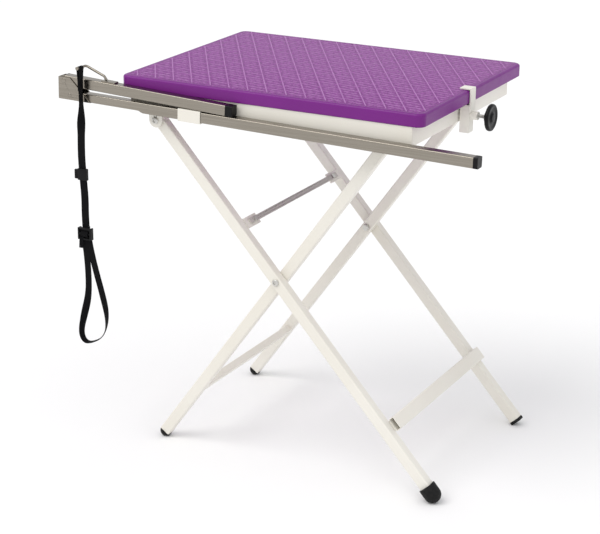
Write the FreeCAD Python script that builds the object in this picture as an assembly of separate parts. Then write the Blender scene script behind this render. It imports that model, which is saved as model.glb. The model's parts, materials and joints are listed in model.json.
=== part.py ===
import FreeCAD, Part
import math
import os

V = FreeCAD.Vector
os.makedirs("parts", exist_ok=True)

# Folding pet grooming table. Millimetres, X along the long side of the top (to the hand
# clamp's end), Y to the back, Z up. Geometry is drawn about the middle of the top on the
# floor, and moved by FRAME_SHIFT on export so that the origin is the middle of the
# footprint box on the floor.

# --- driving dimensions -------------------------------------------------------------
TOP_LENGTH = 629.0
TOP_FRONT = -228.5
TOP_REAR = 246.0
TOP_HEIGHT = 750.0
TOP_THICK = 25.0
TOP_CORNER = 16.0
TOP_EDGE = 5.0
MAT_BORDER = 20.0
MAT_CORNER = 8.0
MAT_THICK = 2.0
MAT_PROUD = 0.4

APRON_LENGTH = 586.0
APRON_WIDTH = 452.0
APRON_DEPTH = 37.0
APRON_WALL = 2.0
APRON_FLANGE = 22.0
END_LIP = 14.0
BEARER_WIDTH = 25.0
BEARER_DEPTH = 15.0
BEARER_WALL = 1.5
TOP_SCREW_R = 2.2
TOP_SCREW_LENGTH = 12.0

LEG_WIDTH = 22.0
LEG_DEPTH = 20.0
LEG_WALL = 1.5
OUTER_FACE = 217.0
WASHER_GAP = 1.0
CROSS_X = 16.2
CROSS_Z = 384.1
OUTER_ANGLE = 131.99
INNER_ANGLE = 54.25
OUTER_TOP_PIVOT = 383.3
INNER_STUD = 369.6
BOLT_R = 4.0
BOLT_HEAD_R = 7.0
NUT_SIZE = 7.5
EAR_R = 14.0
CATCH_Y0 = 160.0
CATCH_Y1 = 163.0
STUD_R = 5.0
BOOT_R = 17.0
SMALL_FOOT_R = 12.0

UPPER_STRETCHER_Z = 477.0
LOWER_STRETCHER_Z = 126.0
TAB_WIDTH = 22.0
FLAT_THICK = 3.0
CHANNEL_WIDTH = 27.0
CHANNEL_DEPTH = 12.0
CHANNEL_WALL = 1.5
INNER_TUBE = 15.0
INNER_TUBE_WALL = 1.2

POST_SIZE = 20.0
POST_WALL = 1.5
POST_X = -150.0
POST_Z = 694.1
POST_Y = -239.5
POST_DROOP = 1.17
POST_RIGHT = 570.0
ARM_PIVOT_U = -279.0
ARM_PIVOT_V = 30.3
ARM_LENGTH = 355.0
ARM_CLOSED = 1.49
CAP_HALF = 10.2
CAP_NECK_HALF = 8.4
CHEEK_IN = 10.4
CHEEK_OUT = 12.2
BRACKET_TOP = 37.5
BRACKET_BOTTOM = -6.0
RIVET_R = 2.5
HINGE_PIN_R = 3.0
SLEEVE_LENGTH = 48.0
SLEEVE_OUTER = 12.0
SLEEVE_INNER = 10.35

CLAMP_Y = -9.0
CLAMP_WIDTH = 23.0
CLAMP_TUBE = 21.0
CLAMP_OUTER = 318.0
CLAMP_PLATE = 2.6
CLAMP_REACH = 23.0
STRAP_BOTTOM = 708.0
TUBE_BOTTOM = 668.5
TUBE_TOP = 722.0
SCREW_Z = 701.5
SCREW_ROD_R = 3.6
PAD_THICK = 2.4
KNOB_X = 344.5
HUB_R = 11.0
HUB_LENGTH = 6.0
WHEEL_THICK = 8.0
KNOB_R = 25.5

STRAP_X = -384.0
STRAP_Y = -260.5
STRAP_WIDTH = 18.0
STRAP_THICK = 1.6
LOOP_WIDTH = 14.0
TWIST_LENGTH = 60.0
SWING_GAP = 0.9
HOOK_Z = 762.0
HOOK_R = 2.5
LOOP_INNER_R = 2.9
LOOP_OUTER_R = 4.5
STRAP_END_Z = 444.0
NOOSE = [(-386, 419.6), (-382, 395), (-379, 350), (-380, 305), (-392, 262), (-402, 222), (-392, 202),
         (-372, 206), (-350, 220), (-340, 244), (-339, 275), (-349, 315), (-362, 360), (-372, 400),
         (-376, 419.6)]

# --- values that follow -------------------------------------------------------------
TOP_BOTTOM = TOP_HEIGHT - TOP_THICK
APRON_BOTTOM = TOP_BOTTOM - APRON_DEPTH
OUTER_INNER_FACE = OUTER_FACE - LEG_DEPTH
INNER_FACE = OUTER_INNER_FACE - WASHER_GAP
INNER_INNER_FACE = INNER_FACE - LEG_DEPTH
HALF_LEG = LEG_WIDTH / 2
FOOT_OUTER = -CROSS_Z / math.sin(math.radians(OUTER_ANGLE))
FOOT_INNER = -CROSS_Z / math.sin(math.radians(INNER_ANGLE))
PIVOT_X = CROSS_X + OUTER_TOP_PIVOT * math.cos(math.radians(OUTER_ANGLE))
PIVOT_Z = CROSS_Z + OUTER_TOP_PIVOT * math.sin(math.radians(OUTER_ANGLE))
STUD_X = CROSS_X + INNER_STUD * math.cos(math.radians(INNER_ANGLE))
STUD_Z = CROSS_Z + INNER_STUD * math.sin(math.radians(INNER_ANGLE))
HALF_POST = POST_SIZE / 2
FRAME_SHIFT = V(6.187, 12.5, 0)
SIDES = {"front": -1, "rear": 1}
X, Y, Z = V(1, 0, 0), V(0, 1, 0), V(0, 0, 1)


# --- helpers ------------------------------------------------------------------------
def box(x0, x1, y0, y1, z0, z1):
    """Block between opposite corners, given in any order."""
    low = V(min(x0, x1), min(y0, y1), min(z0, z1))
    return Part.makeBox(abs(x1 - x0), abs(y1 - y0), abs(z1 - z0), low)


def rod(x, y, z, axis, radius, length):
    """Cylinder that starts at a point and runs along an axis."""
    return Part.makeCylinder(radius, length, V(x, y, z), axis)


def across(x, z, y0, y1, radius):
    """Cylinder across the table, from y0 to y1."""
    return rod(x, min(y0, y1), z, Y, radius, abs(y1 - y0))


def place(shape, x, z, angle):
    """Turn a shape drawn along +X so that it points up at an angle, and move it."""
    shape.rotate(V(0, 0, 0), Y, -angle)
    shape.translate(V(x, 0, z))
    return shape


def on_outer(shape):
    return place(shape, CROSS_X, CROSS_Z, OUTER_ANGLE)


def on_inner(shape):
    return place(shape, CROSS_X, CROSS_Z, INNER_ANGLE)


def on_post(shape):
    return place(shape, POST_X, POST_Z, -POST_DROOP)


def on_arm(shape):
    """Arm frame: its origin is the fold pivot, and +X runs along the arm."""
    shape = place(shape, ARM_PIVOT_U, ARM_PIVOT_V, -ARM_CLOSED)
    return on_post(shape)


def rounded_bar(x0, x1, y0, y1, z0, z1, radius):
    """Bar along X with its four long edges rounded."""
    bar = box(x0, x1, y0, y1, z0, z1)
    long_edges = [e for e in bar.Edges if abs(e.tangentAt(e.FirstParameter).x) > 0.99]
    return bar.makeFillet(radius, long_edges)


def plate(points, y0, y1):
    """Flat plate in the XZ plane from y0 to y1, from its outline points."""
    corners = [V(x, min(y0, y1), z) for x, z in points]
    face = Part.Face(Part.makePolygon(corners + corners[:1]))
    return face.extrude(V(0, abs(y1 - y0), 0))


def bent_rod(points, radius, bend):
    """Round rod along straight runs joined by arcs of one radius."""
    return sweep_path(points, bend, Part.Wire(Part.makeCircle(radius, points[0], points[1] - points[0])))


def sweep_path(points, bend, profile):
    """Sweep a closed profile along straight runs joined by tangent arcs."""
    edges = []
    start = points[0]
    for before, corner, after in zip(points, points[1:], points[2:]):
        into = (corner - before).normalize()
        out = (after - corner).normalize()
        turn = into.getAngle(out)
        trim = bend * math.tan(turn / 2)
        a = corner - into * trim
        b = corner + out * trim
        chord = (a + b) * 0.5
        centre = corner + (chord - corner).normalize() * (bend / math.cos(turn / 2))
        middle = centre + (corner - centre).normalize() * bend
        edges.append(Part.makeLine(start, a))
        edges.append(Part.Arc(a, middle, b).toShape())
        start = b
    edges.append(Part.makeLine(start, points[-1]))
    return Part.Wire(edges).makePipeShell([profile], True, True)


def hexagon(x, y, z, size, height):
    """Hexagon nut blank along +Y, with its base at y."""
    corners = [V(x + size * math.cos(math.radians(60 * k)), y, z + size * math.sin(math.radians(60 * k)))
               for k in range(7)]
    return Part.Face(Part.makePolygon(corners)).extrude(V(0, height, 0))


def save(name, *shapes):
    """Write one node: one solid, or a group of separate identical pieces."""
    shape = shapes[0] if len(shapes) == 1 else Part.makeCompound(list(shapes))
    shape = shape.copy()
    shape.translate(FRAME_SHIFT)
    shape.exportStep(f"parts/{name}.step")


# --- moulded top --------------------------------------------------------------------
def make_top():
    x = TOP_LENGTH / 2
    board = box(-x, x, TOP_FRONT, TOP_REAR, TOP_BOTTOM, TOP_HEIGHT)
    upright = [e for e in board.Edges if abs(e.tangentAt(e.FirstParameter).z) > 0.99]
    board = board.makeFillet(TOP_CORNER, upright)
    rim = [e for e in board.Edges if e.BoundBox.ZMin > TOP_HEIGHT - 0.01]
    board = board.makeFillet(TOP_EDGE, rim)
    rim = [e for e in board.Edges if e.BoundBox.ZMax < TOP_BOTTOM + 0.01]
    board = board.makeFillet(TOP_EDGE / 2, rim)
    mat_x = x - MAT_BORDER
    mat = box(-mat_x, mat_x, TOP_FRONT + MAT_BORDER, TOP_REAR - MAT_BORDER,
              TOP_HEIGHT - MAT_THICK + MAT_PROUD, TOP_HEIGHT + MAT_PROUD)
    upright = [e for e in mat.Edges if abs(e.tangentAt(e.FirstParameter).z) > 0.99]
    mat = mat.makeFillet(MAT_CORNER, upright)
    board = board.cut(mat)
    for sx, sy in screw_places():
        board = board.cut(rod(sx, sy, TOP_BOTTOM, Z, TOP_SCREW_R, TOP_SCREW_LENGTH))
    save("table_top", board)
    save("non_slip_mat", mat)


def screw_places():
    """Screws that hold the under-frame, up through its flanges."""
    y = APRON_WIDTH / 2 - 12
    return [(sx, sy * y) for sx in (-230, 0, 175) for sy in (-1, 1)]


# --- under-frame --------------------------------------------------------------------
def make_under_frame():
    x, y = APRON_LENGTH / 2, APRON_WIDTH / 2
    for side, s in SIDES.items():
        wall = box(-x, x, s * (y - APRON_WALL), s * y, APRON_BOTTOM, TOP_BOTTOM)
        flange = box(-x, x, s * (y - APRON_FLANGE), s * (y - APRON_WALL),
                     TOP_BOTTOM - APRON_WALL, TOP_BOTTOM)
        rail = wall.fuse(flange)
        for sx, sy in screw_places():
            rail = rail.cut(rod(sx, sy, TOP_BOTTOM - 5, Z, TOP_SCREW_R + 0.2, 10))
        save(f"apron_{side}", rail.removeSplitter())
    inner = y - APRON_WALL
    for name, s in (("left", -1), ("right", 1)):
        wall = box(s * (x - APRON_WALL), s * x, -inner, inner, APRON_BOTTOM, TOP_BOTTOM - APRON_WALL)
        lip = box(s * (x - END_LIP), s * (x - APRON_WALL), -(y - APRON_FLANGE), y - APRON_FLANGE,
                  TOP_BOTTOM - 2 * APRON_WALL, TOP_BOTTOM - APRON_WALL)
        save(f"apron_{name}", wall.fuse(lip).removeSplitter())
    bearer_y = y - APRON_FLANGE
    half = BEARER_WIDTH / 2
    for name, cx in (("left", -150), ("right", 120)):
        bearer = box(cx - half, cx + half, -bearer_y, bearer_y, TOP_BOTTOM - BEARER_DEPTH, TOP_BOTTOM)
        hollow = box(cx - half + BEARER_WALL, cx + half - BEARER_WALL, -bearer_y, bearer_y,
                     TOP_BOTTOM - BEARER_DEPTH + BEARER_WALL, TOP_BOTTOM - BEARER_WALL)
        save(f"cross_member_{name}", bearer.cut(hollow))
    screws = []
    for sx, sy in screw_places():
        shank = rod(sx, sy, TOP_BOTTOM - APRON_WALL, Z, TOP_SCREW_R - 0.1, TOP_SCREW_LENGTH)
        head = rod(sx, sy, TOP_BOTTOM - APRON_WALL - 2.5, Z, 4.2, 2.5)
        screws.append(head.fuse(shank).removeSplitter())
    save("top_screws", *screws)


# --- hinge of the outer legs under the top ---------------------------------------------
def make_top_pivots():
    ear_out = APRON_WIDTH / 2 - APRON_WALL
    ear_in = ear_out - 3
    bolts, nuts, spacers = [], [], []
    for side, s in SIDES.items():
        ear = box(PIVOT_X - EAR_R, PIVOT_X + EAR_R, s * ear_in, s * ear_out,
                  PIVOT_Z, TOP_BOTTOM - APRON_WALL)
        ear = ear.fuse(across(PIVOT_X, PIVOT_Z, s * ear_in, s * ear_out, EAR_R))
        ear = ear.cut(across(PIVOT_X, PIVOT_Z, s * ear_in, s * ear_out, BOLT_R + 0.05))
        save(f"pivot_ear_{side}", ear.removeSplitter())
        shank = across(PIVOT_X, PIVOT_Z, s * (OUTER_INNER_FACE - 7), s * ear_out, BOLT_R)
        head = across(PIVOT_X, PIVOT_Z, s * ear_out, s * (ear_out + 4), BOLT_HEAD_R)
        bolts.append(shank.fuse(head).removeSplitter())
        y0 = s * (OUTER_INNER_FACE - 0.3)
        nut = hexagon(PIVOT_X, min(y0, y0 - s * 5.7), PIVOT_Z, NUT_SIZE, 5.7)
        nuts.append(nut.cut(across(PIVOT_X, PIVOT_Z, -300, 300, BOLT_R)))
        spacer = across(PIVOT_X, PIVOT_Z, s * (OUTER_FACE + 0.3), s * ear_in, 9)
        spacers.append(spacer.cut(across(PIVOT_X, PIVOT_Z, -300, 300, BOLT_R)))
    save("top_pivot_bolts", *bolts)
    save("top_pivot_nuts", *nuts)
    save("top_pivot_spacers", *spacers)


# --- catches that the inner legs' studs rest in ----------------------------------------
def make_catches():
    for side, s in SIDES.items():
        outline = [(STUD_X - 16, TOP_BOTTOM), (STUD_X + 14, TOP_BOTTOM), (STUD_X + 14, STUD_Z - 13),
                   (STUD_X - 6, STUD_Z - 13), (STUD_X - 16, STUD_Z - 4)]
        hook = plate(outline, s * CATCH_Y0, s * CATCH_Y1)
        slot = box(0, 40, s * (CATCH_Y0 - 2), s * (CATCH_Y1 + 2), -6.4, 5.3)
        slot = slot.fuse(across(0, 0, s * (CATCH_Y0 - 2), s * (CATCH_Y1 + 2), STUD_R + 0.6))
        hook = hook.cut(place(slot, STUD_X, STUD_Z, -8))
        foot = box(STUD_X - 16, STUD_X + 14, s * 140, s * CATCH_Y0, TOP_BOTTOM - 3, TOP_BOTTOM)
        save(f"catch_bracket_{side}", hook.fuse(foot).removeSplitter())


# --- legs -----------------------------------------------------------------------------
def leg(u0, u1, y0, y1):
    """Square tube along +X, open at u0, closed and rounded about its pivot at u1."""
    tube = rounded_bar(u0, u1, y0, y1, -HALF_LEG, HALF_LEG, 2.5)
    tube = tube.fuse(across(u1, 0, y0, y1, HALF_LEG))
    low, high = min(y0, y1) + LEG_WALL, max(y0, y1) - LEG_WALL
    half = HALF_LEG - LEG_WALL
    tube = tube.cut(box(u0 - 1, u1 - 18, low, high, -half, half))
    tube = tube.cut(across(0, 0, y0, y1, BOLT_R + 0.05))
    return tube


def make_outer_legs():
    ends = {"front": FOOT_OUTER + 20.5, "rear": FOOT_OUTER + 15.5}
    for side, s in SIDES.items():
        tube = leg(ends[side], OUTER_TOP_PIVOT, s * OUTER_FACE, s * OUTER_INNER_FACE)
        tube = tube.cut(across(OUTER_TOP_PIVOT, 0, s * OUTER_FACE, s * OUTER_INNER_FACE, BOLT_R + 0.05))
        save(f"outer_leg_{side}", on_outer(tube.removeSplitter()))
    y = OUTER_FACE - LEG_DEPTH / 2
    centre = FOOT_OUTER + 16.5 / math.sin(math.radians(OUTER_ANGLE))
    boot = rod(centre, -y, 0, X, BOOT_R, 18).fuse(Part.makeSphere(BOOT_R, V(centre, -y, 0)))
    boot = boot.cut(rounded_bar(ends["front"], 0, -OUTER_FACE, -OUTER_INNER_FACE, -HALF_LEG, HALF_LEG, 2.5))
    boot = on_outer(boot.removeSplitter())
    save("foot_outer_front", boot.cut(box(200, 500, -300, 300, -40, 0)))
    pad = rounded_bar(FOOT_OUTER + 9.2, FOOT_OUTER + 15.5, OUTER_INNER_FACE - 0.5, OUTER_FACE + 0.5,
                      -HALF_LEG - 0.5, HALF_LEG + 0.5, 2.5)
    pad = on_outer(pad)
    save("foot_outer_rear", pad.cut(box(200, 500, -300, 300, -40, 0)))


def make_inner_legs():
    y = INNER_FACE - LEG_DEPTH / 2
    studs = []
    radius = SMALL_FOOT_R
    for side, s in SIDES.items():
        centre = FOOT_INNER + (radius - 0.5) / math.sin(math.radians(INNER_ANGLE))
        tube = leg(centre + 2, INNER_STUD, s * INNER_FACE, s * INNER_INNER_FACE)
        save(f"inner_leg_{side}", on_inner(tube.removeSplitter()))
        foot = rod(centre, s * y, 0, X, radius, 10).fuse(Part.makeSphere(radius, V(centre, s * y, 0)))
        foot = foot.cut(rounded_bar(centre + 2, 0, s * INNER_FACE, s * INNER_INNER_FACE,
                                    -HALF_LEG, HALF_LEG, 2.5))
        foot = foot.cut(box(centre + 2, 0, s * (y - 20), s * (y + 20), -20, 20))
        foot = on_inner(foot.removeSplitter())
        save(f"foot_inner_{side}", foot.cut(box(-500, 0, -300, 300, -40, 0)))
        studs.append(on_inner(across(INNER_STUD, 0, s * (CATCH_Y0 - 3), s * INNER_INNER_FACE, STUD_R)))
    save("catch_studs", *studs)


def make_cross_pivots():
    bolts, washers, nuts = [], [], []
    for s in SIDES.values():
        shank = across(CROSS_X, CROSS_Z, s * (INNER_INNER_FACE - 6), s * OUTER_FACE, BOLT_R)
        head = across(CROSS_X, CROSS_Z, s * OUTER_FACE, s * (OUTER_FACE + 3.5), BOLT_HEAD_R)
        bolts.append(shank.fuse(head).removeSplitter())
        washer = across(CROSS_X, CROSS_Z, s * (INNER_FACE + 0.3), s * OUTER_INNER_FACE, 9)
        washers.append(washer.cut(across(CROSS_X, CROSS_Z, -300, 300, BOLT_R)))
        y0 = s * (INNER_INNER_FACE - 0.3)
        nut = hexagon(CROSS_X, min(y0, y0 - s * 5.5), CROSS_Z, NUT_SIZE, 5.5)
        nuts.append(nut.cut(across(CROSS_X, CROSS_Z, -300, 300, BOLT_R)))
    save("cross_bolts", *bolts)
    save("cross_washers", *washers)
    save("cross_nuts", *nuts)


# --- stretchers -------------------------------------------------------------------------
def tab_block(middle, y0, y1):
    """Flat tab welded to the side of the outer legs that faces the top."""
    return box(middle - TAB_WIDTH / 2, middle + TAB_WIDTH / 2, y0, y1, -HALF_LEG, -HALF_LEG + FLAT_THICK)


def make_stretchers():
    # On the outer legs -Z of the leg frame is the side that faces the top.
    upper = (UPPER_STRETCHER_Z - CROSS_Z) / math.sin(math.radians(OUTER_ANGLE))
    screw_y, hole_r = 165, 2.1
    under = -HALF_LEG - FLAT_THICK
    bar = box(upper - 5.5, upper + 5.5, -183, 183, under, -HALF_LEG)
    tabs, screws = [], []
    for s in SIDES.values():
        tab = tab_block(upper, s * OUTER_INNER_FACE, s * 150)
        hole = rod(upper, s * screw_y, under - 1, Z, hole_r, 20)
        tabs.append(on_outer(tab.cut(hole)))
        bar = bar.cut(hole)
        shank = rod(upper, s * screw_y, under, Z, hole_r - 0.1, 9)
        head = rod(upper, s * screw_y, under - 2.5, Z, 4.5, 2.5)
        screws.append(on_outer(shank.fuse(head).removeSplitter()))
    save("upper_stretcher_tabs", *tabs)
    save("upper_stretcher", on_outer(bar))
    save("upper_stretcher_screws", *screws)

    lower = (LOWER_STRETCHER_Z - CROSS_Z) / math.sin(math.radians(OUTER_ANGLE))
    half = CHANNEL_WIDTH / 2
    inside = half - CHANNEL_WALL
    near, far = -INNER_FACE, 215
    top, bottom = -HALF_LEG, -HALF_LEG - CHANNEL_DEPTH
    rail = box(lower - half, lower + half, near, far, bottom, top)
    rail = rail.makeFillet(2, [e for e in rail.Edges if e.Length > 300])
    hollow = box(lower - inside, lower + inside, near, far, bottom + CHANNEL_WALL, top - CHANNEL_WALL)
    save("lower_stretcher", on_outer(rail.cut(hollow)))
    save("lower_stretcher_tab", on_outer(tab_block(lower, -OUTER_INNER_FACE, -170)))
    plug = box(lower - inside, lower + inside, far - 6, far, bottom + CHANNEL_WALL, top - CHANNEL_WALL)
    save("lower_stretcher_plug", on_outer(plug))

    low = (LOWER_STRETCHER_Z - CROSS_Z) / math.sin(math.radians(INNER_ANGLE))
    half = INNER_TUBE / 2
    inside = half - INNER_TUBE_WALL
    base = -HALF_LEG
    tube = box(low - half, low + half, -INNER_INNER_FACE, INNER_INNER_FACE, base, base + INNER_TUBE)
    tube = tube.makeFillet(2, [e for e in tube.Edges if e.Length > 300])
    hollow = box(low - inside, low + inside, -INNER_INNER_FACE, INNER_INNER_FACE,
                 base + INNER_TUBE_WALL, base + INNER_TUBE - INNER_TUBE_WALL)
    save("inner_stretcher", on_inner(tube.cut(hollow)))


# --- stowed post and folding arm --------------------------------------------------------
def square_tube(u0, u1, half, wall, radius):
    tube = rounded_bar(u0, u1, POST_Y - half, POST_Y + half, -half, half, radius)
    inner = half - wall
    return tube.cut(box(u0 - 1, u1 + 1, POST_Y - inner, POST_Y + inner, -inner, inner))


def end_cap(end, length, neck_length):
    """Plastic cap on a tube end, with its neck inside the tube."""
    cap = rounded_bar(end, end + length, POST_Y - CAP_HALF, POST_Y + CAP_HALF, -CAP_HALF, CAP_HALF, 2.5)
    half = CAP_NECK_HALF
    neck = box(end - neck_length, end, POST_Y - half, POST_Y + half, -half, half)
    return cap.fuse(neck).removeSplitter()


def make_post():
    left = -274
    relief_end, relief_ramp, relief_z = -100, 12, -5.5
    y0, y1 = POST_Y - 15, POST_Y + 15
    tube = square_tube(left, POST_RIGHT, HALF_POST, POST_WALL, 2)
    ramp_start = relief_end - relief_ramp
    relief = box(left - 1, ramp_start, y0, y1, -11, relief_z)
    ramp = plate([(ramp_start, -11), (ramp_start, relief_z), (relief_end, -11)], y0, y1)
    tube = tube.cut(relief.fuse(ramp))
    rivets = ((left + 8, 3), (left + 28, 3))
    for u, v in rivets:
        tube = tube.cut(across(u, v, y0, y1, RIVET_R))
    save("post_tube", on_post(tube))
    save("post_end_cap", on_post(end_cap(POST_RIGHT, 9, 14)))

    edge = ARM_PIVOT_U - CHEEK_OUT - 0.2
    low, high = BRACKET_BOTTOM, BRACKET_TOP
    outline = [(edge, low), (edge, high), (edge + 26, high), (edge + 73, low)]
    bracket = box(edge, edge + 1.8, POST_Y - CHEEK_IN, POST_Y + CHEEK_IN, low, high)
    for s in (-1, 1):
        bracket = bracket.fuse(plate(outline, POST_Y + s * CHEEK_IN, POST_Y + s * CHEEK_OUT))
    bracket = bracket.removeSplitter()
    for u, v in rivets:
        bracket = bracket.cut(across(u, v, y0, y1, RIVET_R))
    bracket = bracket.cut(across(ARM_PIVOT_U, ARM_PIVOT_V, y0, y1, HINGE_PIN_R))
    save("hinge_bracket", on_post(bracket))
    pin = across(ARM_PIVOT_U, ARM_PIVOT_V, POST_Y - CHEEK_OUT, POST_Y + CHEEK_OUT, HINGE_PIN_R)
    for s in (-1, 1):
        face = POST_Y + s * CHEEK_OUT
        pin = pin.fuse(across(ARM_PIVOT_U, ARM_PIVOT_V, face, face + s, 5))
    save("hinge_pin", on_post(pin.removeSplitter()))
    pieces = []
    for u, v in rivets:
        rivet = across(u, v, POST_Y - CHEEK_OUT, POST_Y + CHEEK_OUT, RIVET_R)
        for s in (-1, 1):
            rivet = rivet.fuse(across(u, v, POST_Y + s * CHEEK_OUT, POST_Y + s * (CHEEK_OUT + 0.8), 4))
        pieces.append(on_post(rivet.removeSplitter()))
    save("bracket_rivets", *pieces)


def make_arm():
    y0, y1 = POST_Y - HALF_POST, POST_Y + HALF_POST
    tube = square_tube(0, ARM_LENGTH, HALF_POST, POST_WALL, 2)
    end = across(0, 0, y0, y1, HALF_POST)
    end = end.cut(box(0, 12, y0 - 2, y1 + 2, -12, 12))
    end = end.cut(across(0, 0, y0 + POST_WALL, y1 - POST_WALL, HALF_POST))
    tube = tube.fuse(end).cut(across(0, 0, y0 - 5, y1 + 5, HINGE_PIN_R + 0.06))
    save("arm_tube", on_arm(tube.removeSplitter()))
    save("arm_end_cap", on_arm(end_cap(ARM_LENGTH, 14, 12)))
    save("leash_hook_plate", on_arm(box(82, 112, POST_Y - 7, POST_Y + 7, HALF_POST, HALF_POST + 2.5)))
    loop_front = STRAP_Y - LOOP_WIDTH / 2
    hook = bent_rod([V(-338, POST_Y, 739.2), V(-343, POST_Y, 746), V(STRAP_X, POST_Y, HOOK_Z),
                     V(STRAP_X, loop_front - 1, HOOK_Z)], HOOK_R, 2 * HOOK_R)
    stop = rod(STRAP_X, loop_front - 3.5, HOOK_Z, Y, HOOK_R + 0.9, 2.5)
    save("leash_hook", hook.fuse(stop).removeSplitter())


def make_sleeve():
    half, outer = SLEEVE_LENGTH / 2, SLEEVE_OUTER
    rail_face = -APRON_WIDTH / 2
    sleeve = rounded_bar(-half, half, POST_Y - outer, POST_Y + outer, -outer, outer, 1.5)
    bore = SLEEVE_INNER
    sleeve = sleeve.cut(box(-half - 1, half + 1, POST_Y - bore, POST_Y + bore, -bore, bore))
    sleeve = sleeve.fuse(box(-20, 20, POST_Y + outer - 0.8, rail_face - 1, -11, 11))
    sleeve = on_post(sleeve)
    back = box(POST_X - 20, POST_X + 20, rail_face - 1.5, rail_face, APRON_BOTTOM, POST_Z + 10)
    save("post_sleeve", sleeve.fuse(back).removeSplitter())


# --- edge clamp -------------------------------------------------------------------------
def make_clamp():
    y0, y1 = CLAMP_Y - CLAMP_WIDTH / 2, CLAMP_Y + CLAMP_WIDTH / 2
    over = TOP_HEIGHT + MAT_PROUD + 0.4
    inner = CLAMP_OUTER - CLAMP_PLATE
    hook = box(CLAMP_OUTER - CLAMP_REACH, CLAMP_OUTER, y0, y1, over, over + CLAMP_PLATE)
    strap = box(inner, CLAMP_OUTER, y0, y1, STRAP_BOTTOM, over)
    save("clamp_hook", hook.fuse(strap).removeSplitter())
    half, wall = CLAMP_TUBE / 2, 2
    left = inner - CLAMP_TUBE + wall
    tube = box(left, inner, CLAMP_Y - half, CLAMP_Y + half, TUBE_BOTTOM, TUBE_TOP)
    hollow = box(left + wall, inner - wall, CLAMP_Y - half + wall, CLAMP_Y + half - wall,
                 TUBE_BOTTOM + wall, TUBE_TOP)
    bore = rod(left - 1, CLAMP_Y, SCREW_Z, X, 4.06, 60)
    save("clamp_tube", tube.cut(hollow).cut(bore))
    boss = rod(inner, CLAMP_Y, SCREW_Z, X, 8, 14).cut(bore)
    boss = boss.cut(box(inner, CLAMP_OUTER, y0, y1, STRAP_BOTTOM, over))
    save("clamp_boss", boss)
    pad_x = APRON_LENGTH / 2 + 0.4
    save("clamp_pad", rod(pad_x, CLAMP_Y, SCREW_Z, X, 3.4, PAD_THICK))
    screw_x = pad_x + PAD_THICK
    wheel_x = KNOB_X + HUB_LENGTH
    screw_end = wheel_x + WHEEL_THICK / 2
    save("clamp_screw", rod(screw_x, CLAMP_Y, SCREW_Z, X, SCREW_ROD_R, screw_end - screw_x))
    hub = rod(KNOB_X, CLAMP_Y, SCREW_Z, X, HUB_R, HUB_LENGTH + 2)
    wheel = rod(wheel_x, CLAMP_Y, SCREW_Z, X, KNOB_R, WHEEL_THICK)
    rims = [e for e in wheel.Edges if e.Length > 100 and e.Curve.TypeId.endswith("Circle")]
    wheel = wheel.makeFillet(3.5, rims)
    bore = rod(KNOB_X - 1, CLAMP_Y, SCREW_Z, X, SCREW_ROD_R, screw_end - KNOB_X + 1)
    save("clamp_knob", wheel.fuse(hub).cut(bore).removeSplitter())
    save("knob_cap", rod(wheel_x + WHEEL_THICK, CLAMP_Y, SCREW_Z, X, 9, 1.5))


# --- leash ------------------------------------------------------------------------------
def band(points, width, thick, ratio):
    """Flat webbing in the XZ plane, width along Y, its arcs as large as the runs allow."""
    nodes = [V(x, STRAP_Y, z) for x, z in points]
    edges = []
    start = nodes[0]
    for before, corner, after in zip(nodes, nodes[1:], nodes[2:]):
        into, out = corner - before, after - corner
        trim = ratio * min(into.Length, out.Length)
        turn = into.getAngle(out)
        radius = trim / math.tan(turn / 2)
        a = corner - into.normalize() * trim
        b = corner + out.normalize() * trim
        toward = ((a + b) * 0.5 - corner).normalize()
        centre = corner + toward * (radius / math.cos(turn / 2))
        middle = centre - toward * radius
        edges.append(Part.makeLine(start, a))
        edges.append(Part.Arc(a, middle, b).toShape())
        start = b
    edges.append(Part.makeLine(start, nodes[-1]))
    path = Part.Wire(edges)
    side = (nodes[1] - nodes[0]).normalize().cross(Y) * (thick / 2)
    half = Y * (width / 2)
    at = nodes[0]
    profile = Part.makePolygon([at + side + half, at - side + half, at - side - half, at + side - half,
                                at + side + half])
    return path.makePipeShell([profile], True, True)


def strap_section(z, twist, width):
    """Outline of the strap at a height, turned about the vertical by a twist."""
    half, t = width / 2, STRAP_THICK / 2
    outline = Part.makePolygon([V(half, t, 0), V(-half, t, 0), V(-half, -t, 0), V(half, -t, 0),
                                V(half, t, 0)])
    outline.rotate(V(0, 0, 0), Z, twist)
    outline.translate(V(STRAP_X, STRAP_Y, z))
    return outline


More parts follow.
